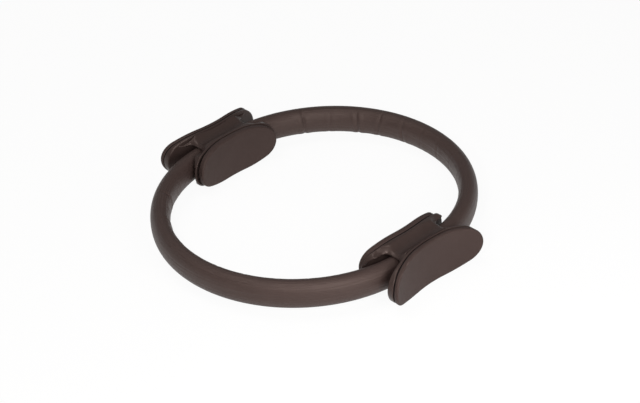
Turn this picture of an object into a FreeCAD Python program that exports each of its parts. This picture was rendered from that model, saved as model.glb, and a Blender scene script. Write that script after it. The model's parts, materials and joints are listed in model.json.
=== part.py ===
import FreeCAD, Part
import math
import os
import Sketcher

# Pilates ring: two half hoops of foam over sprung leaves, pinned at both ends in two padded handles.
# Millimetres. X runs from handle to handle, Y from crown to crown and Z is up. The ring lies flat with z = 0
# on the floor and the origin under its centre. The right handle and the front right quarter of the hoop are
# drawn, and the rest is mirrored from them.

doc = FreeCAD.newDocument("pilates_ring")

# Driving dimensions.
sheet = doc.addObject("Spreadsheet::Sheet", "sizes")
driving = [
    ("bend_radius", "158", "centre line of a half hoop, which is a half circle"),
    ("pin_reach", "21", "from the middle of a handle to each of its pins"),
    ("sleeve_thick", "22", "foam sleeve, across the hoop"),
    ("sleeve_high", "32.8", "foam sleeve, up the hoop"),
    ("sleeve_round", "9.6", "radius of the top and bottom of the sleeve section"),
    ("sleeve_flat", "8", "straight stretch on each side of the sleeve section"),
    ("sleeve_setback", "11.8", "from the pin to the end of the sleeve, along the hoop"),
    ("sleeve_crown_gap", "0.6", "between the two quarters of a sleeve at the crown"),
    ("leaf_thick", "2", "each fibreglass leaf"),
    ("leaf_high", "20", "each fibreglass leaf, up the hoop"),
    ("leaf_gap", "0.2", "between the two leaves"),
    ("leaf_clear", "0.2", "around the leaves in the sleeve and the knuckle"),
    ("leaf_setback", "7", "from the pin to the end of the leaves, along the hoop"),
    ("leaf_crown_gap", "1", "between the two quarters of a leaf at the crown"),
    ("pin_diameter", "5", "steel pin"),
    ("pin_play", "0.1", "around the pin in the knuckle"),
    ("pin_cap", "0.8", "roof left above the pin"),
    ("knuckle_wall", "3.2", "around the pin in the knuckle"),
    ("knuckle_play", "0.5", "above and below the knuckle"),
    ("jaw_length", "11.2", "from the pin to the open end of the knuckle"),
    ("jaw_wall", "2.6", "on each side of the leaves in the knuckle"),
    ("jaw_high", "26", "knuckle where it grips the leaves"),
    ("rivet_setback", "9", "from the pin to the rivet"),
    ("rivet_diameter", "2.5", "rivet through knuckle and leaves"),
    ("inner_room", "0.8", "from the sleeve to the inner wall of the handle"),
    ("outer_relief", "0.6", "how far the cover closes in where the sleeve has ended"),
    ("flange_thick", "2.6", "inner flange of the handle"),
    ("cover_thick", "2.5", "cover, the outer flange of the handle"),
    ("cover_hollow", "190", "back of the cover, flatter than its face so that the tips are thicker"),
    ("cover_gap", "0.2", "seam between body and cover"),
    ("inner_pad_thick", "8.6", "foam pad on the inner flange"),
    ("outer_pad_thick", "6.2", "foam pad on the cover"),
    ("pad_round", "2.4", "rounded face edge of the pads"),
    ("glue_gap", "0.2", "between a pad and its flange"),
    ("rim_round", "1.1", "rounded edge of the flanges"),
    ("inner_bow", "187", "hollow of the inner pad face"),
    ("inner_length", "117", "inner pad, end to end"),
    ("inner_high", "53.2", "inner pad"),
    ("inner_round", "22.5", "radius of the ends of the inner pad"),
    ("inner_flat", "30", "straight stretch at the top and bottom of the inner pad"),
    ("flange_length", "125", "inner flange, end to end"),
    ("flange_high", "53.2", "inner flange"),
    ("flange_round", "22.5", "radius of the ends of the inner flange"),
    ("flange_flat", "30", "straight stretch at the top and bottom of the inner flange"),
    ("outer_bow", "154", "hollow of the outer pad face"),
    ("outer_length", "135", "outer pad, end to end"),
    ("outer_high", "55", "outer pad"),
    ("outer_round", "23", "radius of the ends of the outer pad"),
    ("outer_flat", "40", "straight stretch at the top and bottom of the outer pad"),
    ("roof_room", "0.9", "above the sleeve in the handle"),
    ("roof_thick", "3.2", "roof and floor of the handle at their thinnest"),
    ("roof_length", "120", "roof and floor of the handle where they meet the flanges"),
    ("saddle_rise", "8", "how far the roof and floor could flare up the flanges"),
    ("saddle_round", "12.5", "radius of the channel along the roof and floor"),
    ("tunnel_width", "48", "arch under the roof, past both flanges"),
    ("tunnel_round", "16", "radius of the sides of the arch"),
    ("tunnel_flat", "12", "straight stretch at the top of the arch"),
    ("mouth_reach", "36", "from the middle of the handle to the middle of a mouth edge"),
    ("mouth_round", "8", "corners of a mouth edge seen from above"),
    ("mouth_in", "13", "side of a mouth inwards from the hoop line"),
    ("horn_thick", "2", "wall of the body along the cover beside a mouth"),
    ("flare_round", "15", "radius of a flared mouth at its lip"),
    ("lip_high", "1.2", "lip of a flared mouth"),
    ("boss_rise", "9", "screw boss above or below the middle of the handle"),
    ("boss_diameter", "8", "screw boss"),
    ("screw_diameter", "3", "cover screw"),
    ("screw_length", "13", "cover screw under its head"),
    ("screw_head", "1.4", "countersunk head"),
    ("screw_play", "0.15", "around the screw in the cover"),
    ("held_play", "0.05", "around a pin, rivet or screw where it is held"),
]
for row, (name, number, note) in enumerate(driving, start=1):
    sheet.set("A%d" % row, note)
    sheet.set("B%d" % row, number)
    sheet.setAlias("B%d" % row, name)

# Dimensions worked out from them. The two hollows are circles about upright axes on the X axis, so the
# faces of pads and flanges are radii from those axes.
worked = doc.addObject("Spreadsheet::Sheet", "worked")
follows = [
    ("middle", "sizes.outer_high / 2", "middle of the ring above the floor"),
    ("inner_pad_back", "sizes.inner_bow + sizes.inner_pad_thick", "radius"),
    ("flange_face", "inner_pad_back + sizes.glue_gap", "radius"),
    ("flange_back", "flange_face + sizes.flange_thick", "radius"),
    ("inner_wall", "sizes.bend_radius - sizes.sleeve_thick / 2 - sizes.inner_room", "along X"),
    ("inner_axis", "inner_wall - flange_back", "along X"),
    ("outer_pad_back", "sizes.outer_bow + sizes.outer_pad_thick", "radius"),
    ("cover_face", "outer_pad_back + sizes.glue_gap", "radius"),
    ("cover_back", "cover_face + sizes.cover_thick", "radius"),
    ("outer_wall", "sizes.bend_radius + sizes.sleeve_thick / 2 - sizes.outer_relief", "along X"),
    ("outer_axis", "outer_wall + cover_back", "along X"),
    ("cover_axis", "outer_wall + sizes.cover_hollow", "along X, for the back of the cover"),
    ("roof_under", "sizes.sleeve_high / 2 + sizes.roof_room", "from the middle of the ring"),
    ("roof_top", "roof_under + sizes.roof_thick", "from the middle of the ring"),
    ("roof_reach", "roof_top + sizes.saddle_rise", "from the middle of the ring"),
    ("tunnel_high", "2 * roof_under", "arch, floor to roof"),
    ("horn_face", "sizes.cover_hollow + sizes.cover_gap + sizes.horn_thick", "radius about the axis of the cover"),
    ("corner_reach", "sizes.mouth_reach + sizes.mouth_round", "along Y, to the round corners of a mouth"),
    ("horn_side", "cover_axis - sqrt(horn_face ^ 2 - corner_reach ^ 2)", "along X, outer side of a mouth at its corner"),
    ("lip_top", "roof_under + sizes.lip_high", "from the middle of the ring"),
    ("flare_tall", "sizes.outer_high / 4", "well past the roof and floor"),
    ("leaf_pack", "2 * sizes.leaf_thick + sizes.leaf_gap", "both leaves"),
    ("slot_thick", "leaf_pack + 2 * sizes.leaf_clear", "for the leaves"),
    ("slot_high", "sizes.leaf_high + 2 * sizes.leaf_clear", "for the leaves"),
    ("degrees", "180 / pi / sizes.bend_radius", "for each millimetre along the hoop"),
    ("knuckle_radius", "sizes.pin_diameter / 2 + sizes.pin_play + sizes.knuckle_wall", "about the pin"),
    ("jaw_thick", "slot_thick + 2 * sizes.jaw_wall", "knuckle where it grips the leaves"),
    ("screw_top", "outer_axis - cover_face - sizes.held_play", "along X"),
    ("reach", "2 * sizes.outer_length", "a length well past the handle"),
]
for row, (name, rule, note) in enumerate(follows, start=1):
    worked.set("A%d" % row, note)
    worked.set("B%d" % row, "=" + rule)
    worked.setAlias("B%d" % row, name)
doc.recompute()

ACROSS = FreeCAD.Vector(1, 0, 0)
ALONG = FreeCAD.Vector(0, 1, 0)
UPRIGHT = FreeCAD.Vector(0, 0, 1)
TO_YZ = FreeCAD.Rotation(FreeCAD.Vector(1, 1, 1), 120)
QUARTER_TURN = FreeCAD.Rotation(UPRIGHT, 90)
LYING = FreeCAD.Rotation(ALONG, 90)
LYING_ALONG = FreeCAD.Rotation(ACROSS, 90)


# Ways of making an object and tying it to the sheets.
def bind(thing, **rules):
    """Tie properties to rules; a double underscore stands for a dot in the property."""
    for prop, rule in rules.items():
        thing.setExpression(prop.replace("__", "."), rule)
    return thing


def place(thing, x="0", y="0", z="worked.middle", turn=None):
    thing.Placement = FreeCAD.Placement(FreeCAD.Vector(), turn or FreeCAD.Rotation())
    return bind(thing, Placement__Base__x=x, Placement__Base__y=y, Placement__Base__z=z)


def cylinder(name, radius, height, **where):
    made = doc.addObject("Part::Cylinder", name)
    return place(bind(made, Radius=radius, Height=height), **where)


def upright(name, radius, x, y="0"):
    """A cylinder on an upright axis, tall enough to pass through the whole ring."""
    return cylinder(name, radius, "2 * worked.reach", x=x, y=y, z="worked.middle - worked.reach")


def box(name, x, y, z, long, wide, high):
    made = doc.addObject("Part::Box", name)
    return place(bind(made, Length=long, Width=wide, Height=high), x=x, y=y, z=z)


def combine(kind, name, base, *tools):
    """Cut, Fuse or Common of a base with each tool in turn; the last result has the name."""
    for number, tool in enumerate(tools, start=1):
        last = number == len(tools)
        made = doc.addObject("Part::" + kind, name if last else "%s_step_%d" % (name, number))
        made.Base = base
        made.Tool = tool
        base = made
    return base


def together(name, *things):
    made = doc.addObject("Part::Compound", name)
    made.Links = list(things)
    return made


def mirrored(name, source, normal):
    made = doc.addObject("Part::Mirroring", name)
    made.Source = source
    made.Normal = normal
    return made


def rounded(name, base, round_rule, axis_rule, face_rule):
    """Round the edges of a hollow slab that lie on its face at this radius from its upright axis."""
    doc.recompute()
    round_off, axis, face = value(round_rule), value(axis_rule), value(face_rule)
    chosen = []
    for number, edge in enumerate(base.Shape.Edges, start=1):
        away = [math.hypot(p.x - axis, p.y) - face for p in edge.discretize(5)]
        if max(map(abs, away)) < 0.01:
            chosen.append((number, round_off, round_off))
    made = doc.addObject("Part::Fillet", name)
    made.Base = base
    made.Edges = chosen
    return made


def value(rule):
    """The number in a cell, named as an expression names it."""
    book, name = rule.split(".")
    return float(doc.getObject(book).get(name))


# Sketches about their own origin, closed and fully constrained.
def oval(sketch, part, long, high):
    """Two straight stretches, four side arcs and two end arcs, tangent all round; long runs along the sketch."""
    end_radius = value("sizes.%s_round" % part)
    half_flat = value("sizes.%s_flat" % part) / 2
    half_high = value(high) / 2
    end = value(long) / 2 - end_radius
    side = ((end - half_flat) ** 2 + half_high ** 2 - end_radius ** 2) / (2 * (half_high - end_radius))
    lean = math.atan2(side - half_high, end - half_flat)
    half = math.pi

    def line(x, to_x, y):
        return sketch.addGeometry(Part.LineSegment(FreeCAD.Vector(x, y, 0), FreeCAD.Vector(to_x, y, 0)))

    def arc(x, y, radius, start, stop):
        circle = Part.Circle(FreeCAD.Vector(x, y, 0), UPRIGHT, radius)
        return sketch.addGeometry(Part.ArcOfCircle(circle, start, stop))

    top = line(half_flat, -half_flat, half_high)
    upper_left = arc(-half_flat, half_high - side, side, half / 2, half - lean)
    left = arc(-end, 0, end_radius, half - lean, half + lean)
    lower_left = arc(-half_flat, side - half_high, side, half + lean, 1.5 * half)
    bottom = line(-half_flat, half_flat, -half_high)
    lower_right = arc(half_flat, side - half_high, side, 1.5 * half, 2 * half - lean)
    right = arc(end, 0, end_radius, 2 * half - lean, 2 * half + lean)
    upper_right = arc(half_flat, half_high - side, side, lean, half / 2)

    loop = [top, upper_left, left, lower_left, bottom, lower_right, right, upper_right]
    for here, onward in zip(loop, loop[1:] + loop[:1]):
        sketch.addConstraint(Sketcher.Constraint("Tangent", here, 2, onward, 1))
    level, plumb = -1, -2
    sketch.addConstraint(Sketcher.Constraint("Symmetric", top, 1, top, 2, plumb))
    sketch.addConstraint(Sketcher.Constraint("Symmetric", bottom, 1, bottom, 2, plumb))
    sketch.addConstraint(Sketcher.Constraint("Symmetric", top, 2, bottom, 1, level))
    sketch.addConstraint(Sketcher.Constraint("PointOnObject", right, 3, level))
    sketch.addConstraint(Sketcher.Constraint("Symmetric", left, 3, right, 3, plumb))
    sketch.addConstraint(Sketcher.Constraint("Equal", left, right))
    measure(sketch, "sizes.%s_flat" % part, "DistanceX", top, 2, top, 1, 2 * half_flat)
    measure(sketch, high, "DistanceY", bottom, 1, top, 2, 2 * half_high)
    measure(sketch, "sizes.%s_round" % part, "Radius", right, end_radius)
    measure(sketch, "%s - 2 * sizes.%s_round" % (long, part), "DistanceX", left, 3, right, 3, 2 * end)


def rectangle(sketch, long_rule, high_rule):
    long = value(long_rule)
    high = value(high_rule)
    xs = [-long / 2, long / 2, long / 2, -long / 2]
    ys = [-high / 2, -high / 2, high / 2, high / 2]
    corners = [FreeCAD.Vector(x, y, 0) for x, y in zip(xs, ys)]
    sides = [
        sketch.addGeometry(Part.LineSegment(here, onward))
        for here, onward in zip(corners, corners[1:] + corners[:1])
    ]
    for here, onward in zip(sides, sides[1:] + sides[:1]):
        sketch.addConstraint(Sketcher.Constraint("Coincident", here, 2, onward, 1))
    for number, side in enumerate(sides):
        sketch.addConstraint(Sketcher.Constraint("Vertical" if number % 2 else "Horizontal", side))
    sketch.addConstraint(Sketcher.Constraint("Symmetric", sides[0], 1, sides[2], 1, -1, 1))
    measure(sketch, long_rule, "DistanceX", sides[0], 1, sides[0], 2, long)
    measure(sketch, high_rule, "DistanceY", sides[1], 1, sides[1], 2, high)


def measure(sketch, rule, *constraint):
    number = sketch.addConstraint(Sketcher.Constraint(*constraint))
    sketch.setExpression("Constraints[%d]" % number, rule)


def hoop_piece(name, radius_rule, setback, crown_gap, draw):
    """A PartDesign body: a section drawn along Z at a radius of the front half hoop and turned to its crown."""
    body = doc.addObject("PartDesign::Body", name)
    origin = {feature.Role: feature for feature in body.Origin.OriginFeatures}
    sketch = body.newObject("Sketcher::SketchObject", name + "_section")
    sketch.AttachmentSupport = [(origin["XZ_Plane"], "")]
    sketch.MapMode = "FlatFace"
    sketch.AttachmentOffset = FreeCAD.Placement(FreeCAD.Vector(), QUARTER_TURN)
    bind(sketch, AttachmentOffset__Base__x=radius_rule, AttachmentOffset__Base__y="worked.middle")
    draw(sketch)
    turn = body.newObject("PartDesign::Revolution", name + "_turn")
    turn.Profile = sketch
    turn.ReferenceAxis = (origin["Z_Axis"], [""])
    turn.Reversed = True
    bind(turn, Angle="90 - (sizes.%s + sizes.%s / 2) * worked.degrees" % (setback, crown_gap))
    body.Tip = turn
    body.Placement = FreeCAD.Placement(FreeCAD.Vector(), FreeCAD.Rotation(UPRIGHT, -1))
    bind(body, Placement__Base__y="-sizes.pin_reach")
    bind(body, Placement__Rotation__Angle="-sizes.%s * worked.degrees" % setback)
    return body


# Foam sleeve of the front right quarter, with a slot for the leaves.
def sleeve_section(sketch):
    oval(sketch, "sleeve", "sizes.sleeve_high", "sizes.sleeve_thick")
    rectangle(sketch, "worked.slot_high", "worked.slot_thick")


sleeve = hoop_piece("front_right_sleeve", "sizes.bend_radius", "sleeve_setback", "sleeve_crown_gap", sleeve_section)


# Two fibreglass leaves, drilled for the rivet.
def leaf_section(sketch):
    rectangle(sketch, "sizes.leaf_high", "sizes.leaf_thick")


LEAF_OFFSET = "(sizes.leaf_thick + sizes.leaf_gap) / 2"
RIVET_Y = "-sizes.pin_reach - sizes.rivet_setback"
JAW_X = "sizes.bend_radius - worked.jaw_thick / 2"
rivet_hole = cylinder(
    "rivet_hole", "sizes.rivet_diameter / 2 + sizes.held_play", "worked.reach",
    x="sizes.bend_radius - worked.reach / 2", y=RIVET_Y, turn=LYING)
leaves = []
for where, sign in (("outer", "+"), ("inner", "-")):
    name = "front_right_%s_leaf" % where
    strip = hoop_piece(
        name + "_strip", "sizes.bend_radius %s %s" % (sign, LEAF_OFFSET), "leaf_setback", "leaf_crown_gap", leaf_section)
    leaves.append(combine("Cut", name, strip, rivet_hole))

# Knuckle: an eye for the pin and a jaw, whose slot follows the curve of the leaves.
eye = cylinder(
    "knuckle_eye", "worked.knuckle_radius", "2 * (worked.roof_under - sizes.knuckle_play)",
    x="sizes.bend_radius", y="-sizes.pin_reach", z="worked.middle - worked.roof_under + sizes.knuckle_play")
jaw = box(
    "knuckle_jaw", JAW_X, "-sizes.pin_reach - sizes.jaw_length", "worked.middle - sizes.jaw_high / 2",
    "worked.jaw_thick", "sizes.jaw_length", "sizes.jaw_high")
bore = upright("knuckle_bore", "sizes.pin_diameter / 2 + sizes.pin_play", "sizes.bend_radius", "-sizes.pin_reach")
slot_block = box(
    "slot_block", JAW_X, "-sizes.pin_reach - worked.reach - sizes.leaf_setback + sizes.leaf_clear",
    "worked.middle - worked.slot_high / 2", "worked.jaw_thick", "worked.reach", "worked.slot_high")
slot_outside = upright("slot_outside", "sizes.bend_radius + worked.slot_thick / 2", "0", "-sizes.pin_reach")
slot_inside = upright("slot_inside", "sizes.bend_radius - worked.slot_thick / 2", "0", "-sizes.pin_reach")
slot = combine("Common", "slot", slot_block, combine("Cut", "slot_ring", slot_outside, slot_inside))
knuckle = combine("Cut", "front_right_knuckle", combine("Fuse", "knuckle_blank", eye, jaw), bore, slot, rivet_hole)

# Rivet through the jaw and both leaves.
rivet = cylinder(
    "front_right_rivet", "sizes.rivet_diameter / 2", "worked.jaw_thick", x=JAW_X, y=RIVET_Y, turn=LYING)


# Hollow slabs of the handle: an oval seen along X, kept between two radii of a hollow.
def oval_prism(name, part):
    sketch = doc.addObject("Sketcher::SketchObject", name + "_outline")
    oval(sketch, part, "sizes.%s_length" % part, "sizes.%s_high" % part)
    place(sketch, x="sizes.bend_radius - worked.reach / 4", turn=TO_YZ)
    made = doc.addObject("Part::Extrusion", name)
    made.Base = sketch
    made.DirMode = "Normal"
    made.Solid = True
    return bind(made, LengthFwd="worked.reach / 2")


def hollow_slab(name, prism, axis, near, far, far_axis=None):
    outside = upright(name + "_outside", far, far_axis or axis)
    inside = upright(name + "_inside", near, axis)
    return combine("Common", name, prism, combine("Cut", name + "_ring", outside, inside))


inner_prism = oval_prism("inner_prism", "inner")
flange_prism = oval_prism("flange_prism", "flange")
outer_prism = oval_prism("outer_prism", "outer")
INNER_AXIS = "worked.inner_axis"
OUTER_AXIS = "worked.outer_axis"
COVER_AXIS = "worked.cover_axis"

# Foam pads with rounded face edges.
inner_pad = rounded(
    "right_inner_pad",
    hollow_slab("inner_pad_slab", inner_prism, INNER_AXIS, "sizes.inner_bow", "worked.inner_pad_back"),
    "sizes.pad_round", "worked.inner_axis", "sizes.inner_bow")
outer_pad = rounded(
    "right_outer_pad",
    hollow_slab("outer_pad_slab", outer_prism, OUTER_AXIS, "sizes.outer_bow", "worked.outer_pad_back"),
    "sizes.pad_round", "worked.outer_axis", "sizes.outer_bow")


# Cover screws, and the holes that they need.
def along_x(name, radius, length, x, rise):
    return cylinder(name, radius, length, x=x, z="worked.middle + " + rise, turn=LYING)


def countersunk(name, rise, play, length):
    """A countersunk screw shape under the cover face, grown by the play around it."""
    cone = doc.addObject("Part::Cone", name + "_head")
    bind(cone, Radius1="sizes.screw_diameter / 2 + " + play)
    bind(cone, Radius2="sizes.screw_diameter / 2 + sizes.screw_head + " + play, Height="sizes.screw_head")
    place(cone, x="worked.screw_top - sizes.screw_head", z="worked.middle + " + rise, turn=LYING)
    shank = along_x(
        name + "_shank", "sizes.screw_diameter / 2 + " + play, length,
        "worked.screw_top - sizes.screw_head - " + length, rise)
    return combine("Fuse", name, cone, shank)


RISES = (("upper", "sizes.boss_rise"), ("lower", "-sizes.boss_rise"))
screws = together("right_screws", *[
    countersunk(level + "_screw", "(%s)" % rise, "0", "sizes.screw_length") for level, rise in RISES])
screw_holes = [
    countersunk(level + "_screw_hole", "(%s)" % rise, "sizes.screw_play", "sizes.screw_length") for level, rise in RISES]
mouth_of_hole = [
    along_x(level + "_hole_mouth", "sizes.screw_diameter / 2 + sizes.screw_head + sizes.screw_play",
            "sizes.cover_thick", "worked.screw_top", "(%s)" % rise) for level, rise in RISES]

# Cover: the outer flange, with a rounded rim.
cover_slab = hollow_slab("cover_slab", outer_prism, OUTER_AXIS, "worked.cover_face", "sizes.cover_hollow", COVER_AXIS)
cover_rim = rounded("cover_rim", cover_slab, "sizes.rim_round", "worked.cover_axis", "sizes.cover_hollow")
cover = combine("Cut", "right_cover", cover_rim, *screw_holes, *mouth_of_hole)

# Handle body: the inner flange, a roof and floor, and screw bosses, open towards the cover. A channel runs along the
# roof and the floor, which flare up to the rims of both flanges, and horns of them run on beside each mouth.
flange = rounded(
    "inner_flange",
    hollow_slab("flange_slab", flange_prism, INNER_AXIS, "worked.flange_face", "worked.flange_back"),
    "sizes.rim_round", "worked.inner_axis", "worked.flange_back")
halves = [
    combine("Common", half + "_roof_half", box(
        half + "_roof_block", x, "-sizes.roof_length / 2", "worked.middle - worked.roof_reach",
        "worked.reach / 4", "sizes.roof_length", "2 * worked.roof_reach"), prism)
    for half, x, prism in (("inner", "sizes.bend_radius - worked.reach / 4", flange_prism),
                           ("outer", "sizes.bend_radius", outer_prism))]
roof_slab = combine("Fuse", "roof_slab", *halves)
arch = doc.addObject("Sketcher::SketchObject", "tunnel_arch")
oval(arch, "tunnel", "sizes.tunnel_width", "worked.tunnel_high")
place(arch, x="sizes.bend_radius", y="worked.reach / 2", turn=FreeCAD.Rotation(ACROSS, 90))
tunnel = doc.addObject("Part::Extrusion", "tunnel")
tunnel.Base = arch
tunnel.DirMode = "Normal"
tunnel.Solid = True
bind(tunnel, LengthFwd="worked.reach")
flange_bite = upright("flange_bite", "worked.flange_back - sizes.flange_thick / 2", INNER_AXIS)
cover_room = upright("cover_room", "sizes.cover_hollow + sizes.cover_gap", COVER_AXIS)
saddles = [
    cylinder(level + "_saddle", "sizes.saddle_round", "2 * worked.reach", x="sizes.bend_radius",
             y="worked.reach", z="worked.middle %s (worked.roof_top + sizes.saddle_round)" % sign, turn=LYING_ALONG)
    for level, sign in (("upper", "+"), ("lower", "-"))]


def mouth(name):
    """What is left open in front of the roof and floor, as far as the horn along the cover; its corners are round."""
    inner_x = "sizes.bend_radius - sizes.mouth_in + sizes.mouth_round"
    outer_x = "worked.horn_side - sizes.mouth_round"
    low, tall = "worked.middle - worked.reach", "2 * worked.reach"
    lip = box(name + "_lip", inner_x, "-sizes.mouth_reach - worked.reach", low,
              "worked.horn_side - sizes.bend_radius + sizes.mouth_in - 2 * sizes.mouth_round", "worked.reach", tall)
    past = box(name + "_past", "sizes.bend_radius - sizes.mouth_in", "-worked.corner_reach - worked.reach", low,
               "worked.reach", "worked.reach", tall)
    corners = [upright(name + "_inner_corner", "sizes.mouth_round", inner_x, "-worked.corner_reach"),
               upright(name + "_outer_corner", "sizes.mouth_round", outer_x, "-worked.corner_reach")]
    opening = combine("Fuse", name + "_opening", lip, past, *corners)
    return combine("Cut", name, opening, upright(name + "_horn", "worked.horn_face", COVER_AXIS))


def flare(name, narrow_at, wide_at, low):
    """A cone that opens upwards or downwards from the lip of a mouth."""
    made = doc.addObject("Part::Cone", name)
    bind(made, Height="worked.flare_tall", Radius1="sizes.flare_round + " + narrow_at)
    bind(made, Radius2="sizes.flare_round + " + wide_at)
    return place(made, x="sizes.bend_radius", y="-sizes.mouth_reach - sizes.flare_round", z=low)


flares = together("front_flares", flare("upper_flare", "0", "worked.flare_tall", "worked.middle + worked.lip_top"),
                  flare("lower_flare", "worked.flare_tall", "0",
                        "worked.middle - worked.lip_top - worked.flare_tall"))
front_mouth = mouth("front_mouth")
rear_mouth = mirrored("rear_mouth", front_mouth, ALONG)
rear_flares = mirrored("rear_flares", flares, ALONG)
roof = combine(
    "Cut", "roof_and_floor", roof_slab,
    tunnel, flange_bite, cover_room, *saddles, front_mouth, rear_mouth, flares, rear_flares)
BOSS_X = "worked.inner_wall - sizes.flange_thick / 2"
bosses = [
    along_x(level + "_boss", "sizes.boss_diameter / 2",
            "worked.outer_wall - sizes.cover_gap - (%s)" % BOSS_X, BOSS_X, "(%s)" % rise) for level, rise in RISES]
pilot_holes = [
    along_x(level + "_pilot", "sizes.screw_diameter / 2 + sizes.held_play", "sizes.screw_length",
            "worked.screw_top - sizes.screw_head - sizes.screw_length - sizes.held_play", "(%s)" % rise)
    for level, rise in RISES]
PIN_BOTTOM = "worked.middle - worked.roof_top"
PIN_LENGTH = "2 * worked.roof_top - sizes.pin_cap"
PIN_PLACES = (("front", "-sizes.pin_reach"), ("rear", "sizes.pin_reach"))
pin_holes = [
    cylinder(where + "_pin_hole", "sizes.pin_diameter / 2 + sizes.held_play",
             PIN_LENGTH + " + sizes.held_play + sizes.saddle_rise",
             x="sizes.bend_radius", y=y, z=PIN_BOTTOM + " - sizes.saddle_rise") for where, y in PIN_PLACES]
body_blank = combine("Fuse", "body_blank", flange, roof, *bosses)
handle_body = combine("Cut", "right_handle_body", body_blank, *pilot_holes, *pin_holes)

# Pins, pressed in from below.
pins = together("right_pins", *[
    cylinder(where + "_pin", "sizes.pin_diameter / 2", PIN_LENGTH, x="sizes.bend_radius", y=y, z=PIN_BOTTOM)
    for where, y in PIN_PLACES])

# The other handle and the other three quarters.
handle_pieces = [handle_body, cover, inner_pad, outer_pad, screws, pins]
quarter_pieces = [sleeve, leaves[0], leaves[1], knuckle, rivet]
nodes = handle_pieces + quarter_pieces
for piece in handle_pieces:
    nodes.append(mirrored(piece.Name.replace("right", "left"), piece, ACROSS))
for piece in quarter_pieces:
    nodes.append(mirrored(piece.Name.replace("right", "left"), piece, ACROSS))
    rear_name = piece.Name.replace("front", "rear")
    rear = mirrored(rear_name, piece, ALONG)
    nodes.append(rear)
    nodes.append(mirrored(rear_name.replace("right", "left"), rear, ACROSS))
doc.recompute()

# Check every object and write each node.
for thing in doc.Objects:
    if "Invalid" in thing.State or "Error" in thing.State:
        raise SystemExit("%s did not compute: %s" % (thing.Name, thing.State))
os.makedirs("parts", exist_ok=True)
for node in nodes:
    node.Label = node.Name
    if node.Shape.isNull() or not node.Shape.isValid() or not node.Shape.Solids:
        raise SystemExit("%s has no valid solid" % node.Name)
    node.Shape.exportStep("parts/%s.step" % node.Name)
    extent = node.Shape.optimalBoundingBox()
    print("%-28s %d solid %9.1f mm3  x %7.2f %7.2f  y %7.2f %7.2f  z %6.2f %6.2f" % (
        node.Name, len(node.Shape.Solids), node.Shape.Volume,
        extent.XMin, extent.XMax, extent.YMin, extent.YMax, extent.ZMin, extent.ZMax))
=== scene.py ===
import bpy
import bmesh
import json
import math
from mathutils import Matrix, Vector, noise


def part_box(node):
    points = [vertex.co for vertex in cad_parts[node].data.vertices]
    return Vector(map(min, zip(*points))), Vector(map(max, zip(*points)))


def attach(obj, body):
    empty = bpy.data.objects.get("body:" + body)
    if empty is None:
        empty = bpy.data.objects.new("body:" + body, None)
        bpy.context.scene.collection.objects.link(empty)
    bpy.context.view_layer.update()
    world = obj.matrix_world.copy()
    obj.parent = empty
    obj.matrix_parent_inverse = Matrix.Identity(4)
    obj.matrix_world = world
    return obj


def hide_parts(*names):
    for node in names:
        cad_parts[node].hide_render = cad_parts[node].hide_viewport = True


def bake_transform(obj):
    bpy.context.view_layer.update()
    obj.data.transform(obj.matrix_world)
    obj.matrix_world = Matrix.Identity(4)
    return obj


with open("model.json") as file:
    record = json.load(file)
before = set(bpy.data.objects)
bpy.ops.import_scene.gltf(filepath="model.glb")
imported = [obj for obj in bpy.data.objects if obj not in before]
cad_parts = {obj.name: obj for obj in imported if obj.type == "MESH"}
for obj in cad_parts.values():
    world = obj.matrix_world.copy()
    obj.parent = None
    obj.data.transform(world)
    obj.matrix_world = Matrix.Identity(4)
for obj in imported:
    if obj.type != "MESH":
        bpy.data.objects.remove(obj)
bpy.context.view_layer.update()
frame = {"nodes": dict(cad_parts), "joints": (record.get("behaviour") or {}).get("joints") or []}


# Spring leaves. Two pultruded fibreglass strips lie back to back in each half hoop and store the squeeze.
# They are drilled at the ends for a rivet and show only where the foam stops inside the handles.
def new_material(name):
    material = bpy.data.materials.new(name)
    material.use_nodes = True
    tree = material.node_tree
    return material, tree, tree.nodes["Principled BSDF"]


def add_node(tree, kind, **settings):
    """Adds a shader node; settings name properties, or inputs by their label with spaces as underscores."""
    made = tree.nodes.new("ShaderNode" + kind)
    for key, value in settings.items():
        label = key.replace("_", " ")
        if label in made.inputs:
            made.inputs[label].default_value = value
        else:
            setattr(made, key, value)
    return made


def ramp(tree, source, low, high):
    """A colour ramp from low to high colour, fed by a value."""
    made = add_node(tree, "ValToRGB")
    made.color_ramp.elements[0].color = (*low, 1)
    made.color_ramp.elements[1].color = (*high, 1)
    tree.links.new(source, made.inputs["Fac"])
    return made.outputs["Color"]


def dress(nodes, material):
    """Gives carried-over CAD nodes a finish."""
    for name in nodes:
        data = frame["nodes"][name].data
        data.materials.clear()
        data.materials.append(material)


def fibreglass():
    material, tree, shader = new_material("fibreglass")
    place = add_node(tree, "TexCoord")
    strands = add_node(tree, "TexNoise", Scale=260.0, Detail=3.0)
    tree.links.new(place.outputs["Object"], strands.inputs["Vector"])
    colour = ramp(tree, strands.outputs["Fac"], low=(0.36, 0.34, 0.24), high=(0.62, 0.6, 0.47))
    tree.links.new(colour, shader.inputs["Base Color"])
    shader.inputs["Roughness"].default_value = 0.42
    return material


QUARTERS = ("front_left", "front_right", "rear_left", "rear_right")
dress([quarter + "_" + leaf for quarter in QUARTERS for leaf in ("outer_leaf", "inner_leaf")], fibreglass())


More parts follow.
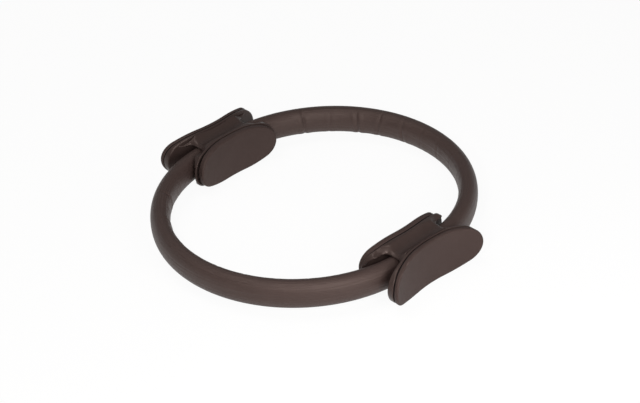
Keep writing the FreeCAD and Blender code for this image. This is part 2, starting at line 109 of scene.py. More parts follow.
# Knuckles, rivets, pins and screws. Each end of a half hoop has a glass-filled nylon eye that turns on a
# steel pin in the handle, with a rivet through it and the leaves. Two plated screws under each outer pad hold
# the cover on the body.
def nylon():
    material, tree, shader = new_material("black nylon")
    place = add_node(tree, "TexCoord")
    fibres = add_node(tree, "TexNoise", Scale=900.0, Detail=2.0)
    tree.links.new(place.outputs["Object"], fibres.inputs["Vector"])
    colour = ramp(tree, fibres.outputs["Fac"], low=(0.01, 0.01, 0.01), high=(0.03, 0.028, 0.026))
    tree.links.new(colour, shader.inputs["Base Color"])
    shader.inputs["Roughness"].default_value = 0.5
    return material


def plated_steel():
    material, tree, shader = new_material("plated steel")
    place = add_node(tree, "TexCoord")
    marks = add_node(tree, "TexNoise", Scale=1500.0, Detail=2.0)
    tree.links.new(place.outputs["Object"], marks.inputs["Vector"])
    colour = ramp(tree, marks.outputs["Fac"], low=(0.42, 0.42, 0.43), high=(0.62, 0.62, 0.62))
    tree.links.new(colour, shader.inputs["Base Color"])
    shader.inputs["Metallic"].default_value = 1.0
    shader.inputs["Roughness"].default_value = 0.32
    return material


SIDES = {"right": 1, "left": -1}
dress([quarter + "_knuckle" for quarter in QUARTERS], nylon())
steel_nodes = [quarter + "_rivet" for quarter in QUARTERS]
steel_nodes += [side + "_" + kind for side in SIDES for kind in ("pins", "screws")]
dress(steel_nodes, plated_steel())


# Foam sleeves. Each half hoop wears one oval tube of closed-cell foam, extruded with fine lengthwise lines.
# It was slid over the leaves when straight, so its inner side has gathered into creases with low swells.
joints = {joint["name"]: joint for joint in frame["joints"]}
right_pin = Vector(joints["front_right_pivot"]["pos_m"])
front_crown = Vector(joints["squeeze"]["pos_m"])
hoop_radius = right_pin.x
hoop_centre = abs(right_pin.y)
middle = right_pin.z
sleeve_low, sleeve_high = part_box("front_right_sleeve")
sleeve_half_thick = -sleeve_low[1] + front_crown.y
sleeve_half_high = (sleeve_high[2] - sleeve_low[2]) / 2
sleeve_start = math.asin((-sleeve_high[1] - hoop_centre) / (hoop_radius - sleeve_half_thick))
SLEEVE_SQUARENESS = 2.25
SLEEVE_ROUND = 64
SLEEVE_STEP = 0.0012
SLOT_SQUARENESS = 8
SLOT_HALF_THICK = 0.0023
SLOT_HALF_HIGH = 0.0102
END_TUCK = 0.0006
END_EASE_PER_RADIAN = 60
# Degrees round the half hoop from the right handle, weight, and slant in degrees over the height.
CREASES = {
    "front": ((28, 0.2, 0.6), (41, 0.3, -0.5), (53, 0.2, 0.4), (66, 0.3, 0.5), (79, 0.3, -0.4),
              (92, 0.3, 0.3), (105, 0.4, -0.6), (120, 1.1, 0.5), (131, 0.7, -0.4), (139, 1.0, 0.4),
              (152, 0.4, 0.3)),
    "rear": ((27, 0.2, 0.4), (39, 0.2, -0.5), (51, 0.3, 0.5), (64, 0.2, -0.4), (76, 0.3, 0.6),
             (88, 0.3, -0.3), (99, 0.6, 0.5), (111.6, 1.0, -0.9), (122, 1.5, 0.3), (135, 0.6, -0.6),
             (147, 1.2, 0.5)),
}
CREASE_DEPTH = 0.0017
CREASE_WIDTH = 0.0012
CREASE_WANDER = 0.5
SWELL_HEIGHT = 0.0005
SWELL_PLACE = 0.0045
SWELL_WIDTH = 0.0032
GATHER_SPREAD = 0.8


def steps(first, last, count):
    return [first + (last - first) * i / count for i in range(count + 1)]


def power(value, exponent):
    return math.copysign(abs(value) ** exponent, value)


def gathered(half, angle, around):
    """How far the foam's skin stands proud of the plain tube, in metres."""
    inside = max(0.0, -math.cos(around)) ** GATHER_SPREAD
    if inside == 0.0:
        return 0.0
    height = math.sin(around)
    proud = 0.0
    for degrees, weight, slant in CREASES[half]:
        wander = slant * height + CREASE_WANDER * noise.noise((degrees, height * 2.2, 3.0))
        away = math.radians(math.degrees(angle) - degrees - wander) * hoop_radius
        strength = 0.55 + 0.45 * noise.noise((degrees * 1.7, height * 1.8, 9.0))
        proud -= CREASE_DEPTH * weight * strength * math.exp(-(away / CREASE_WIDTH) ** 2)
        proud += SWELL_HEIGHT * weight * math.exp(-((abs(away) - SWELL_PLACE) / SWELL_WIDTH) ** 2)
    return proud * inside


def finish_mesh(bm, name):
    bmesh.ops.recalc_face_normals(bm, faces=bm.faces)
    mesh = bpy.data.meshes.new(name)
    bm.to_mesh(mesh)
    bm.free()
    piece = bpy.data.objects.new(name, mesh)
    bpy.context.collection.objects.link(piece)
    return piece


def sleeve_mesh(half):
    """The foam tube of one half hoop with the slot for its leaves, mapped in metres along and around."""
    toward = -1 if half == "front" else 1
    length = (math.pi - 2 * sleeve_start) * hoop_radius
    girth = 2 * math.pi * math.sqrt((sleeve_half_thick ** 2 + sleeve_half_high ** 2) / 2)
    angles = steps(sleeve_start, math.pi - sleeve_start, round(length / SLEEVE_STEP))
    rounds = steps(0, 2 * math.pi, SLEEVE_ROUND)[:-1]
    bm = bmesh.new()
    uv = bm.loops.layers.uv.new("along and around")

    def at(angle, out, up):
        radius = hoop_radius + out
        y = toward * (hoop_centre + radius * math.sin(angle))
        return bm.verts.new((radius * math.cos(angle), y, middle + up))

    def quad(corners, places):
        face = bm.faces.new(corners)
        face.smooth = True
        for loop, place in zip(face.loops, places):
            loop[uv].uv = place

    skin, slot = [], []
    for angle in angles:
        from_end = min(angle - sleeve_start, math.pi - sleeve_start - angle)
        tuck = END_TUCK * (1 - min(1.0, from_end * END_EASE_PER_RADIAN))
        ring, core = [], []
        for around in rounds:
            c, s = math.cos(around), math.sin(around)
            plain = Vector((power(c, 2 / SLEEVE_SQUARENESS) * sleeve_half_thick,
                            power(s, 2 / SLEEVE_SQUARENESS) * sleeve_half_high))
            grown = plain * (1 + (gathered(half, angle, around) - tuck) / plain.length)
            ring.append(at(angle, grown.x, grown.y))
            core.append(at(angle, power(c, 2 / SLOT_SQUARENESS) * SLOT_HALF_THICK,
                           power(s, 2 / SLOT_SQUARENESS) * SLOT_HALF_HIGH))
        skin.append(ring)
        slot.append(core)

    for surface in (skin, slot):
        for i in range(len(angles) - 1):
            for j in range(SLEEVE_ROUND):
                k = (j + 1) % SLEEVE_ROUND
                u = [angles[i] * hoop_radius, angles[i + 1] * hoop_radius]
                v = [girth * j / SLEEVE_ROUND, girth * (j + 1) / SLEEVE_ROUND]
                quad((surface[i][j], surface[i][k], surface[i + 1][k], surface[i + 1][j]),
                     ((u[0], v[0]), (u[0], v[1]), (u[1], v[1]), (u[1], v[0])))
    for i in (0, -1):
        for j in range(SLEEVE_ROUND):
            k = (j + 1) % SLEEVE_ROUND
            corners = (skin[i][j], skin[i][k], slot[i][k], slot[i][j])
            quad(corners, [(corner.co.x, corner.co.z) for corner in corners])
    return finish_mesh(bm, half + "_sleeve")


def skin_group():
    """Moulded or extruded skin: slow mottling and fine pores, from a position in metres."""
    group = bpy.data.node_groups.new("foam and plastic skin", "ShaderNodeTree")
    face = group.interface
    face.new_socket("Position", in_out="INPUT", socket_type="NodeSocketVector")
    face.new_socket("Pores per metre", in_out="INPUT", socket_type="NodeSocketFloat")
    face.new_socket("Mottle", in_out="OUTPUT", socket_type="NodeSocketFloat")
    face.new_socket("Pores", in_out="OUTPUT", socket_type="NodeSocketFloat")
    start = group.nodes.new("NodeGroupInput")
    end = group.nodes.new("NodeGroupOutput")
    mottle = add_node(group, "TexNoise", Scale=38.0, Detail=4.0, Roughness=0.6)
    pores = add_node(group, "TexNoise", Detail=2.0, Roughness=0.65)
    group.links.new(start.outputs["Position"], mottle.inputs["Vector"])
    group.links.new(start.outputs["Position"], pores.inputs["Vector"])
    group.links.new(start.outputs["Pores per metre"], pores.inputs["Scale"])
    group.links.new(mottle.outputs["Fac"], end.inputs["Mottle"])
    group.links.new(pores.outputs["Fac"], end.inputs["Pores"])
    return group


SKIN = skin_group()


def add_skin(tree, position, pores_per_metre):
    made = tree.nodes.new("ShaderNodeGroup")
    made.node_tree = SKIN
    made.inputs["Pores per metre"].default_value = pores_per_metre
    tree.links.new(position, made.inputs["Position"])
    return made


def mixed(tree, first, second, share):
    """A value that is first, with a share of second."""
    made = add_node(tree, "Mix", data_type="FLOAT")
    made.inputs[0].default_value = share
    tree.links.new(first, made.inputs[2])
    tree.links.new(second, made.inputs[3])
    return made.outputs[0]


def gloss(tree, source, smoothest, roughest):
    """Roughness that follows a value of the skin."""
    made = add_node(tree, "MapRange", interpolation_type="SMOOTHSTEP", From_Min=0.2, From_Max=0.8,
                    To_Min=smoothest, To_Max=roughest)
    tree.links.new(source, made.inputs["Value"])
    return made.outputs["Result"]


def bump(tree, height, shader, depth, strength):
    made = add_node(tree, "Bump", Strength=strength, Distance=depth)
    tree.links.new(height, made.inputs["Height"])
    tree.links.new(made.outputs["Normal"], shader.inputs["Normal"])


WARM_SHEEN = (1.0, 0.8, 0.72, 1)
LINES_ALONG_AND_AROUND = (9, 560, 1)


def sleeve_foam():
    material, tree, shader = new_material("sleeve foam")
    place = add_node(tree, "TexCoord")
    stretch = add_node(tree, "Mapping", Scale=LINES_ALONG_AND_AROUND)
    tree.links.new(place.outputs["UV"], stretch.inputs["Vector"])
    lines = add_node(tree, "TexNoise", noise_dimensions="2D", Scale=1.0, Detail=3.0, Roughness=0.55)
    tree.links.new(stretch.outputs["Vector"], lines.inputs["Vector"])
    skin = add_skin(tree, place.outputs["UV"], pores_per_metre=2400.0)
    shade = mixed(tree, lines.outputs["Fac"], skin.outputs["Mottle"], share=0.4)
    colour = ramp(tree, shade, low=(0.0288, 0.0166, 0.0142), high=(0.0507, 0.0315, 0.0282))
    tree.links.new(colour, shader.inputs["Base Color"])
    rough = gloss(tree, lines.outputs["Fac"], smoothest=0.42, roughest=0.54)
    tree.links.new(rough, shader.inputs["Roughness"])
    shader.inputs["Specular Tint"].default_value = WARM_SHEEN
    shader.inputs["Specular IOR Level"].default_value = 0.5
    height = mixed(tree, lines.outputs["Fac"], skin.outputs["Pores"], share=0.25)
    bump(tree, height, shader, depth=0.0009, strength=0.9)
    return material


foam = sleeve_foam()
for half in ("front", "rear"):
    sleeve = sleeve_mesh(half)
    sleeve.data.materials.append(foam)
    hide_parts(half + "_left_sleeve", half + "_right_sleeve")
    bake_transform(sleeve)


# Handle bodies. Each is one satin moulding: the inner flange, a saddle roof and floor that flare up to it,
# and horns along the flange beside each mouth. A rolled lip runs round every mouth, and all its edges are
# rounded over.
FLANGE_OVAL = dict(length=0.125, high=0.0532, end_radius=0.0225, flat=0.030)
FLANGE_THICK = 0.0026
FLANGE_BACK = 0.1984
FLANGE_FACE = FLANGE_BACK - FLANGE_THICK
SLEEVE_ROOM = 0.0008
inner_wall = hoop_radius - sleeve_half_thick - SLEEVE_ROOM
flange_axis = inner_wall - FLANGE_BACK
COVER_OVAL = dict(length=0.135, high=0.055, end_radius=0.023, flat=0.040)
COVER_HOLLOW = 0.190
cover_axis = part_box("right_cover")[0][0] + COVER_HOLLOW
TIP_FROM = 0.042
TIP_FLATTENING = 2.7
HORN_THICK = 0.0022
HORN_FACE = COVER_HOLLOW + HORN_THICK
HORN_DEEP = 0.0055
HORN_TIP = 0.0595
HORN_EASE = 0.0095
HORN_SUNK = 0.0006
MOUTH_REACH = 0.036
MOUTH_ROUND = 0.008
MOUTH_IN = 0.013
MARGIN = 0.001
mouth_corner = MOUTH_REACH + MOUTH_ROUND
mouth_side = hoop_radius - MOUTH_IN
HORN_OUT = 0.008
horn_side = hoop_radius + HORN_OUT
LIP_CLEAR = 0.0018
LIP_RISE = sleeve_half_high + LIP_CLEAR
LIP_ROUND = 0.0011
LIP_FLANGE_STEPS = 16
LIP_COVER_END = 0.054
LIP_COVER_SPLAY = 0.35
WEB_SUNK = 0.0012
WEB_HALF_THICK = LIP_ROUND * 0.9


def oval_parts(length, high, end_radius, flat):
    """Centre of an end arc, half the flat, half the height, radius of the side arc, and where they meet."""
    end, half_flat, half_high = length / 2 - end_radius, flat / 2, high / 2
    side = ((end - half_flat) ** 2 + half_high ** 2 - end_radius ** 2) / (2 * (half_high - end_radius))
    lean = math.atan2(side - half_high, end - half_flat)
    return end, half_flat, half_high, side, lean


def oval_rise(y, oval):
    """Half the height of a flange's outline at a place along Y."""
    end, half_flat, half_high, side, lean = oval_parts(**oval)
    away = abs(y)
    if away <= half_flat:
        return half_high
    if away <= end + oval["end_radius"] * math.cos(lean):
        return half_high - side + math.sqrt(side ** 2 - (away - half_flat) ** 2)
    return math.sqrt(max(0.0, oval["end_radius"] ** 2 - (away - end) ** 2))


def hollow(axis, toward, radius):
    """A face hollowed about an upright axis: where it stands along X at each place along Y."""
    return lambda y: axis + toward * math.sqrt(radius ** 2 - y * y)


flange_back_at = hollow(flange_axis, 1, FLANGE_BACK)
horn_face_at = hollow(cover_axis, -1, HORN_FACE)


def cover_back_at(y):
    """Where the back of the cover stands along X: hollow in the middle, flatter towards its thick tips."""
    near, away = min(abs(y), TIP_FROM), max(0.0, abs(y) - TIP_FROM)
    level = math.sqrt(COVER_HOLLOW ** 2 - near ** 2)
    return cover_axis - level + away * near / level - TIP_FLATTENING * away ** 2


def within(share):
    return max(0.0, min(1.0, share))


def horn_edge(y):
    """How far a horn reaches along X beside the flange; it eases back to the flange towards the tip."""
    ease = within((HORN_TIP - abs(y)) / HORN_EASE)
    return min(mouth_side, flange_back_at(y) + HORN_DEEP * ease * ease * (3 - 2 * ease))


def lip_path():
    """The lip of the upper front mouth, from the tip of the flange round to the tip of the cover."""
    corner = -mouth_corner
    inner_x = mouth_side + MOUTH_ROUND
    outer_x = horn_face_at(corner) - MOUTH_ROUND
    turns = [(MOUTH_ROUND * math.cos(a), MOUTH_ROUND * math.sin(a)) for a in steps(0, math.pi / 2, 8)]
    path = [(horn_edge(y), y, oval_rise(y, FLANGE_OVAL)) for y in steps(-HORN_TIP, corner, LIP_FLANGE_STEPS)]
    path += [(inner_x - aside, corner + along, 1) for aside, along in turns[1:]]
    path += [(outer_x + aside, corner + along, 1) for along, aside in turns]
    path += [(horn_face_at(y) + LIP_COVER_SPLAY * (corner - y), y, oval_rise(y, COVER_OVAL))
             for y in steps(corner, -LIP_COVER_END, 8)[1:]]
    return [Vector((x, y, min(LIP_RISE, rise - LIP_ROUND))) for x, y, rise in path]


def add_lip(bm, front, up):
    """A round bead along one lip, and the web that ties it to the flange."""
    path = lip_path()
    beads = []
    for i, point in enumerate(path):
        along = (path[min(i + 1, len(path) - 1)] - path[max(i - 1, 0)]).normalized()
        aside = along.cross(Vector((0, 0, 1))).normalized()
        above = aside.cross(along)
        beads.append([point + (aside * math.cos(a) + above * math.sin(a)) * LIP_ROUND
                      for a in steps(0, 2 * math.pi, 12)[:-1]])
    webs = []
    half = Vector((0, 0, WEB_HALF_THICK))
    for point in path[:LIP_FLANGE_STEPS + 1]:
        root = Vector((flange_back_at(point.y) - WEB_SUNK, point.y, point.z))
        webs.append([root - half, point - half, point + half, root + half])
    for rings in (beads, webs):
        loops = [[bm.verts.new((p.x, p.y * front, middle + p.z * up)) for p in ring] for ring in rings]
        count = len(loops[0])
        for here, onward in zip(loops, loops[1:]):
            for j in range(count):
                k = (j + 1) % count
                bm.faces.new((here[j], here[k], onward[k], onward[j]))
        bm.faces.new(loops[0])
        bm.faces.new(loops[-1])


EASE_NEAR = 0.026
EASE_NEAR_FADE = 0.008
EASE_FAR = 0.0575
EASE_FAR_FADE = 0.006
EASE_FLANGE = 0.0002
EASE_FLANGE_FADE = 0.003
EASE_COVER = 0.178
EASE_COVER_FADE = 0.004
EASE_ABOVE = 0.0008
EASE_ABOVE_FADE = 0.002
EASE_AT_LIP = 0.12


def mouth_weight(place):
    """How strongly the skin is eased round a mouth: most above the lip, little at it, not at the rims."""
    away, up = abs(place.y), abs(place.z - middle)
    from_flange = place.x - flange_back_at(place.y)
    along = min(within((away - EASE_NEAR) / EASE_NEAR_FADE), within((EASE_FAR - away) / EASE_FAR_FADE))
    across = min(within((from_flange + EASE_FLANGE) / EASE_FLANGE_FADE),
                 within((EASE_COVER - place.x) / EASE_COVER_FADE))
    above = max(EASE_AT_LIP, within((up - LIP_RISE - EASE_ABOVE) / EASE_ABOVE_FADE))
    return along * across * above


def take_shape(piece):
    """Makes what the modifiers show the piece's own mesh."""
    shown = piece.evaluated_get(bpy.context.evaluated_depsgraph_get())
    shaped = bpy.data.meshes.new_from_object(shown)
    piece.modifiers.clear()
    piece.data = shaped


SKIN_DETAIL = 0.0005


def ease_skin(piece, name, times, group=""):
    relax = piece.modifiers.new(name, "SMOOTH")
    relax.factor = 0.5
    relax.iterations = times
    relax.vertex_group = group


def handle_moulding():
    """The CAD moulding with its lips, remeshed as one skin and eased so that its corners round over."""
    bm = bmesh.new()
    bm.from_mesh(frame["nodes"]["right_handle_body"].data)
    bmesh.ops.remove_doubles(bm, verts=bm.verts, dist=1e-6)
    for vert in bm.verts:
        if abs(vert.co.y) <= mouth_corner + MARGIN:
            continue
        if vert.co.x < mouth_side + MARGIN:
            vert.co.x = min(vert.co.x, max(horn_edge(vert.co.y), flange_back_at(vert.co.y)))
        elif vert.co.x > horn_side:
            vert.co.x = max(vert.co.x, cover_back_at(vert.co.y) + HORN_SUNK)
    for front in (1, -1):
        for up in (1, -1):
            add_lip(bm, front, up)
    piece = finish_mesh(bm, "right_handle_moulding")
    remesh = piece.modifiers.new("one skin", "REMESH")
    remesh.mode = "VOXEL"
    remesh.voxel_size = SKIN_DETAIL
    remesh.use_smooth_shade = True
    take_shape(piece)
    mouths = piece.vertex_groups.new(name="mouths")
    for vert in piece.data.vertices:
        weight = mouth_weight(vert.co)
        if weight > 0:
            mouths.add([vert.index], weight, "REPLACE")
    ease_skin(piece, "rounded edges", times=20)
    ease_skin(piece, "eased mouths", times=90, group="mouths")
    take_shape(piece)
    piece.vertex_groups.clear()
    add_flange_rim(piece)
    return piece


def oval_outline(length, high, end_radius, flat, inset=0.0):
    """A flange's outline along Y and Z, from the +Y tip round over the top, drawn in by an inset."""
    end, half_flat, half_high, side, lean = oval_parts(length, high, end_radius, flat)
    tip_radius, side_radius = end_radius - inset, side - inset
    tips = [(end + tip_radius * math.cos(a), tip_radius * math.sin(a)) for a in steps(0, lean, 20)]
    sides = [(half_flat + side_radius * math.cos(a), half_high - side + side_radius * math.sin(a))
             for a in steps(lean, math.pi / 2, 14)]
    flats = [(y, half_high - inset) for y in steps(half_flat, 0, 8)]
    quarter = tips + sides[1:] + flats[1:]
    upper = quarter + [(-y, z) for y, z in reversed(quarter[:-1])]
    return upper + [(y, -z) for y, z in reversed(upper[1:-1])]


def add_slab(bm, side, oval, rings, closed_back=False):
    """A slab with an oval outline, hollowed about upright axes. Rings run from the middle of one face over
    the edge to the middle of the other, each an inset from the outline and the hollow face that it lies on.
    A rim alone closes back from its last ring to its first."""
    loops = []
    for inset, face in rings:
        outline = oval_outline(**oval, inset=inset)
        loops.append([bm.verts.new((SIDES[side] * face(y), y, middle + z)) for y, z in outline])
    count = len(loops[0])
    for here, onward in zip(loops, loops[1:] + loops[:1] if closed_back else loops[1:]):
        for j in range(count):
            k = (j + 1) % count
            bm.faces.new((here[j], here[k], onward[k], onward[j])).smooth = True
    for loop in () if closed_back else (loops[0], loops[-1]):
        for j in range(1, count // 2 - 1):
            bm.faces.new((loop[j], loop[j + 1], loop[count - j - 1], loop[count - j])).smooth = True
        bm.faces.new((loop[0], loop[1], loop[count - 1])).smooth = True
        bm.faces.new((loop[count // 2], loop[count // 2 + 1], loop[count // 2 - 1])).smooth = True


def quarter_round(inward, deep, count):
    """Inset and depth along a rounded edge, from the face outwards."""
    return [(inward * (1 - math.sin(a)), deep * (1 - math.cos(a))) for a in steps(0, math.pi / 2, count)]


RIM_ROUND = quarter_round(0.0011, 0.0011, 6)
RIM_PROUD = 0.00003
RIM_FACE_REACH = 0.004
RIM_BACK_REACH = 0.003
RIM_BACK_SUNK = 0.0004


def add_flange_rim(piece):
    """The rim of the flange, turned over evenly on both sides and a hair proud of the eased skin."""
    face, back = FLANGE_FACE - RIM_PROUD, FLANGE_BACK + RIM_PROUD
    turned = [(RIM_FACE_REACH, face)]
    turned += [(inset - RIM_PROUD, face + deep) for inset, deep in RIM_ROUND]
    turned += [(inset - RIM_PROUD, back - deep) for inset, deep in reversed(RIM_ROUND)]
    turned += [(RIM_BACK_REACH, FLANGE_BACK - RIM_BACK_SUNK)]
    bm = bmesh.new()
    rings = [(inset, hollow(flange_axis, 1, radius)) for inset, radius in turned]
    add_slab(bm, "right", FLANGE_OVAL, rings, closed_back=True)
    bmesh.ops.recalc_face_normals(bm, faces=bm.faces)
    bm.from_mesh(piece.data)
    bm.to_mesh(piece.data)
    bm.free()


def other_side(piece, name):
    """A copy mirrored to the left handle."""
    bm = bmesh.new()
    bm.from_mesh(piece.data)
    bmesh.ops.transform(bm, matrix=Matrix.Scale(-1, 4, (1, 0, 0)), verts=bm.verts)
    bmesh.ops.reverse_faces(bm, faces=bm.faces)
    return finish_mesh(bm, name)


def rub_group():
    """Rubbed edges: a mask where the surface turns outwards, broken up along the edge."""
    group = bpy.data.node_groups.new("rubbed edges", "ShaderNodeTree")
    face = group.interface
    face.new_socket("Position", in_out="INPUT", socket_type="NodeSocketVector")
    face.new_socket("Turn", in_out="INPUT", socket_type="NodeSocketFloat")
    face.new_socket("Sharpest turn", in_out="INPUT", socket_type="NodeSocketFloat")
    face.new_socket("Rub", in_out="OUTPUT", socket_type="NodeSocketFloat")
    start = group.nodes.new("NodeGroupInput")
    end = group.nodes.new("NodeGroupOutput")
    edge = add_node(group, "MapRange", interpolation_type="SMOOTHSTEP", From_Min=0.52)
    group.links.new(start.outputs["Turn"], edge.inputs["Value"])
    group.links.new(start.outputs["Sharpest turn"], edge.inputs["From Max"])
    patches = add_node(group, "TexNoise", Scale=170.0, Detail=3.0, Roughness=0.6)
    group.links.new(start.outputs["Position"], patches.inputs["Vector"])
    broken = add_node(group, "MapRange", interpolation_type="SMOOTHSTEP", From_Min=0.3, From_Max=0.65,
                      To_Min=0.3)
    group.links.new(patches.outputs["Fac"], broken.inputs["Value"])
    both = add_node(group, "Math", operation="MULTIPLY")
    group.links.new(edge.outputs["Result"], both.inputs[0])
    group.links.new(broken.outputs["Result"], both.inputs[1])
    group.links.new(both.outputs[0], end.inputs["Rub"])
    return group


RUB = rub_group()


def add_rub(tree, position, sharpest):
    made = tree.nodes.new("ShaderNodeGroup")
    made.node_tree = RUB
    made.inputs["Sharpest turn"].default_value = sharpest
    tree.links.new(position, made.inputs["Position"])
    tree.links.new(add_node(tree, "NewGeometry").outputs["Pointiness"], made.inputs["Turn"])
    return made.outputs["Rub"]


def rubbed_colour(tree, colour, rub, worn, shader):
    made = add_node(tree, "Mix", data_type="RGBA")
    made.inputs[7].default_value = (*worn, 1)
    tree.links.new(rub, made.inputs[0])
    tree.links.new(colour, made.inputs[6])
    tree.links.new(made.outputs[2], shader.inputs["Base Color"])


def satin_plastic():
    material, tree, shader = new_material("satin handle plastic")
    place = add_node(tree, "TexCoord")
    skin = add_skin(tree, place.outputs["Object"], pores_per_metre=1500.0)
    rub = add_rub(tree, place.outputs["Object"], sharpest=0.60)
    colour = ramp(tree, skin.outputs["Mottle"], low=(0.030, 0.0188, 0.0166), high=(0.045, 0.0298, 0.0266))
    rubbed_colour(tree, colour, rub, (0.066, 0.047, 0.042), shader)
    polished = add_node(tree, "Mix", data_type="FLOAT")
    polished.inputs[3].default_value = 0.285
    tree.links.new(rub, polished.inputs[0])
    tree.links.new(gloss(tree, skin.outputs["Mottle"], smoothest=0.30, roughest=0.38), polished.inputs[2])
    tree.links.new(polished.outputs[0], shader.inputs["Roughness"])
    shader.inputs["Specular Tint"].default_value = WARM_SHEEN
    shader.inputs["Specular IOR Level"].default_value = 0.3
    bump(tree, skin.outputs["Pores"], shader, depth=0.0001, strength=0.12)
    return material


plastic = satin_plastic()
right_moulding = handle_moulding()
left_moulding = other_side(right_moulding, "left_handle_moulding")
for side, piece in (("right", right_moulding), ("left", left_moulding)):
    piece.data.materials.clear()
    piece.data.materials.append(plastic)
    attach(piece, side + "_handle")
    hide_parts(side + "_handle_body")


# Covers. Each is the outer flange of a handle, a hollowed plate in the same satin plastic that thickens
# towards its tips and has a rounded rim. It is screwed to the body under the outer pad.
OUTER_BOW = 0.154
OUTER_PAD_THICK = 0.0062
PAD_GAP = 0.0002
COVER_FACE = OUTER_BOW + OUTER_PAD_THICK + PAD_GAP
outer_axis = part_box("right_outer_pad")[0][0] + OUTER_BOW + OUTER_PAD_THICK
COVER_BACK_ROUND = quarter_round(0.0026, 0.0013, 8)
FACE_INSETS = (0.0215, 0.018, 0.014, 0.010, 0.0075)
COVER_FACE_EDGE = (0.004, 0.002)
COVER_BACK_EDGE = (0.004, 0.0055)


def hollow_slab(name, side, oval, rings):
    bm = bmesh.new()
    add_slab(bm, side, oval, rings)
    return finish_mesh(bm, name)


def cover_back(deep):
    return lambda y: cover_back_at(y) + deep


for side in SIDES:
    rings = [(inset, hollow(outer_axis, -1, COVER_FACE)) for inset in FACE_INSETS + COVER_FACE_EDGE]
    rings += [(inset, hollow(outer_axis, -1, COVER_FACE + deep)) for inset, deep in RIM_ROUND]
    rings += [(inset, cover_back(deep)) for inset, deep in reversed(COVER_BACK_ROUND)]
    rings += [(inset, cover_back(0.0)) for inset in COVER_BACK_EDGE + FACE_INSETS[::-1]]
    cover = hollow_slab(side + "_cover_plate", side, COVER_OVAL, rings)
    cover.data.materials.append(plastic)
    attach(cover, side + "_handle")
    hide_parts(side + "_cover")


# Pads. Each flange carries a die-cut pad of softer foam, glued on, with its face edge rolled over. The outer
# pad is longer than the inner one, and both are hollowed to sit against a palm, an ankle or a thigh.
def pad_foam():
    material, tree, shader = new_material("pad foam")
    place = add_node(tree, "TexCoord")
    skin = add_skin(tree, place.outputs["Object"], pores_per_metre=1700.0)
    rub = add_rub(tree, place.outputs["Object"], sharpest=0.62)
    colour = ramp(tree, skin.outputs["Mottle"], low=(0.0305, 0.0178, 0.0157), high=(0.0424, 0.0263, 0.0237))
    rubbed_colour(tree, colour, rub, (0.075, 0.050, 0.045), shader)
    rough = gloss(tree, skin.outputs["Pores"], smoothest=0.58, roughest=0.7)
    tree.links.new(rough, shader.inputs["Roughness"])
    shader.inputs["Specular Tint"].default_value = WARM_SHEEN
    shader.inputs["Specular IOR Level"].default_value = 0.4
    bump(tree, skin.outputs["Pores"], shader, depth=0.0005, strength=0.5)
    return material


# Painted dark seam: a near-black strip along the back edge of each pad, where it meets the flange, so that
# the seam shows as a dark line.
def dark_seam_strip():
    material, tree, shader = new_material("dark seam strip")
    place = add_node(tree, "TexCoord")
    seam_mottle = add_skin(tree, place.outputs["Object"], pores_per_metre=900.0)
    colour = ramp(tree, seam_mottle.outputs["Mottle"], low=(0.004, 0.003, 0.0026), high=(0.009, 0.0066, 0.006))
    tree.links.new(colour, shader.inputs["Base Color"])
    shader.inputs["Roughness"].default_value = 0.8
    shader.inputs["Specular IOR Level"].default_value = 0.15
    return material


pad_material = pad_foam()
dark_seam_material = dark_seam_strip()
# Depth and insets of the near-black strip at the back of each pad, which paints the seam dark.
SEAM_STRIP_WIDE = 0.0013
SEAM_STRIP_INSET = 0.0010
SEAM_STRIP_FOOT_INSET = 0.0011
SEAM_STRIP_FOOT = 0.0002
PAD_BACK_EDGE = (0.0013, 0.0030, 0.0055)
PAD_BACK_ROUND = quarter_round(0.0009, 0.0007, 5)
INNER_BOW = 0.187
INNER_PAD_THICK = 0.0086
inner_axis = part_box("right_inner_pad")[1][0] - (INNER_BOW + INNER_PAD_THICK)
INNER_OVAL = dict(length=0.117, high=0.0532, end_radius=0.0225, flat=0.030)
PADS = {
    "outer": dict(axis=outer_axis, toward=-1, oval=COVER_OVAL, bow=OUTER_BOW, thick=OUTER_PAD_THICK,
                  roll=quarter_round(0.0022, 0.0020, 10)),
    "inner": dict(axis=inner_axis, toward=1, oval=INNER_OVAL, bow=INNER_BOW, thick=INNER_PAD_THICK,
                  roll=quarter_round(0.0026, 0.0024, 10)),
}
for side in SIDES:
    for where, pad in PADS.items():
        face, back = pad["bow"], pad["bow"] + pad["thick"]
        turned = [(inset, face) for inset in FACE_INSETS]
        turned += [(inset, face + deep) for inset, deep in pad["roll"]]
        turned += [(inset, back - SEAM_STRIP_WIDE - deep) for inset, deep in reversed(PAD_BACK_ROUND)]
        # From here to the back, the rings carry the near-black strip that paints the seam dark.
        dark_strip_from = len(turned)
        turned += [(SEAM_STRIP_INSET, back - SEAM_STRIP_WIDE), (SEAM_STRIP_FOOT_INSET, back - SEAM_STRIP_FOOT)]
        turned += [(inset, back) for inset in PAD_BACK_EDGE + FACE_INSETS[::-1]]
        rings = [(inset, hollow(pad["axis"], pad["toward"], radius)) for inset, radius in turned]
        piece = hollow_slab("%s_%s_foam_pad" % (side, where), side, pad["oval"], rings)
        piece.data.materials.append(pad_material)
        piece.data.materials.append(dark_seam_material)
        around = len(oval_outline(**pad["oval"]))
        for face_number in range((dark_strip_from - 1) * around, (len(rings) - 1) * around):
            piece.data.polygons[face_number].material_index = 1
        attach(piece, side + "_handle")
        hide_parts("%s_%s_pad" % (side, where))


# Floor, light and camera. A wide pale floor stays white to the camera and keeps a faint shadow. A soft light
# stands low at the side, a broad one overhead and a small one near the camera, which has a long lens and
# looks down past the near handle.
FLOOR_SIZE = 60
FLOOR_GLOW_SHARE = 0.93
SURROUNDINGS = 0.30


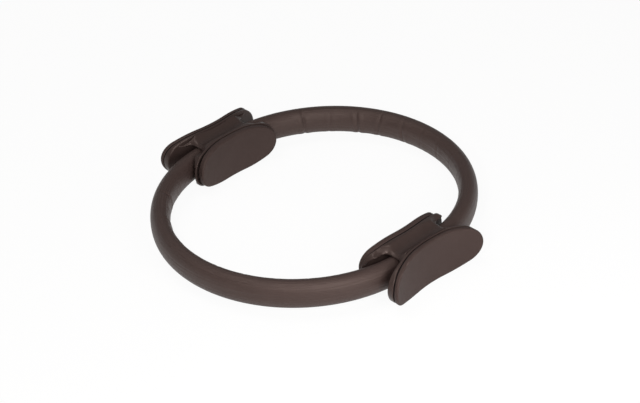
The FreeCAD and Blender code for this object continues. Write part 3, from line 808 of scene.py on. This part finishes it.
def pale_floor():
    material, tree, shader = new_material("pale floor")
    shader.inputs["Base Color"].default_value = (0.9, 0.88, 0.87, 1)
    shader.inputs["Roughness"].default_value = 0.9
    seen = add_node(tree, "LightPath")
    glow = add_node(tree, "Emission", Color=(1, 1, 1, 1), Strength=1.0)
    camera_or_glossy = add_node(tree, "Math", operation="MAXIMUM")
    tree.links.new(seen.outputs["Is Camera Ray"], camera_or_glossy.inputs[0])
    tree.links.new(seen.outputs["Is Glossy Ray"], camera_or_glossy.inputs[1])
    either = add_node(tree, "Math", operation="MAXIMUM")
    tree.links.new(camera_or_glossy.outputs[0], either.inputs[0])
    tree.links.new(seen.outputs["Is Transmission Ray"], either.inputs[1])
    share = add_node(tree, "Math", operation="MULTIPLY")
    share.inputs[1].default_value = FLOOR_GLOW_SHARE
    tree.links.new(either.outputs[0], share.inputs[0])
    mix = add_node(tree, "MixShader")
    tree.links.new(share.outputs[0], mix.inputs[0])
    tree.links.new(shader.outputs[0], mix.inputs[1])
    tree.links.new(glow.outputs[0], mix.inputs[2])
    tree.links.new(mix.outputs[0], tree.nodes["Material Output"].inputs["Surface"])
    return material


bpy.ops.mesh.primitive_plane_add(size=FLOOR_SIZE)
floor = bpy.context.object
floor.name = "floor"
floor.data.materials.append(pale_floor())

scene = bpy.context.scene
scene.view_settings.view_transform = "Standard"
world = bpy.data.worlds.new("white surroundings")
scene.world = world
world.use_nodes = True
background = world.node_tree.nodes["Background"]
background.inputs["Color"].default_value = (1, 1, 1, 1)
background.inputs["Strength"].default_value = SURROUNDINGS

VIEW_AZIMUTH = math.radians(47.365)
VIEW_ELEVATION = math.radians(34.387)
VIEW_ROLL = math.radians(-2.668)
VIEW_DISTANCE = 1.7793
PICTURE = Vector((640, 403))
FOCAL_PIXELS = 1579.2
RING_CENTRE_PIXEL = Vector((315.1, 198.8))
ring_centre = Vector((0, 0, middle))


def direction(azimuth, elevation):
    """From the object towards a place round it; azimuth 0 is in front, along -Y."""
    level = math.cos(elevation)
    return Vector((math.sin(azimuth) * level, -math.cos(azimuth) * level, math.sin(elevation)))


forward = -direction(VIEW_AZIMUTH, VIEW_ELEVATION)
across = Vector((math.cos(VIEW_AZIMUTH), math.sin(VIEW_AZIMUTH), 0))
upward = across.cross(forward)
offset = (RING_CENTRE_PIXEL - PICTURE / 2) / FOCAL_PIXELS
ray = (forward + across * offset.x - upward * offset.y).normalized()
rolled_across = across * math.cos(VIEW_ROLL) + upward * math.sin(VIEW_ROLL)
rolled_upward = upward * math.cos(VIEW_ROLL) - across * math.sin(VIEW_ROLL)
lens = bpy.data.cameras.new("camera")
lens.sensor_width = 36
lens.lens = FOCAL_PIXELS / PICTURE.x * lens.sensor_width
camera = bpy.data.objects.new("camera", lens)
bpy.context.collection.objects.link(camera)
camera_pose = Matrix((rolled_across, rolled_upward, -forward)).transposed().to_4x4()
camera_pose.translation = ring_centre - ray * VIEW_DISTANCE
camera.matrix_world = camera_pose
scene.camera = camera


def soft_light(name, azimuth, elevation, distance, size, watts):
    data = bpy.data.lights.new(name, "AREA")
    data.shape = "DISK"
    data.size = size
    data.energy = watts
    lamp = bpy.data.objects.new(name, data)
    bpy.context.collection.objects.link(lamp)
    away = direction(math.radians(azimuth), math.radians(elevation))
    lamp.location = ring_centre + away * distance
    lamp.rotation_euler = (-away).to_track_quat("-Z", "Y").to_euler()


soft_light("soft side light", azimuth=74, elevation=24, distance=0.85, size=0.5, watts=4.3)
soft_light("overhead light", azimuth=-30, elevation=72, distance=1.8, size=1.0, watts=9.5)
soft_light("small light", azimuth=36, elevation=36, distance=1.2, size=0.09, watts=4.0)
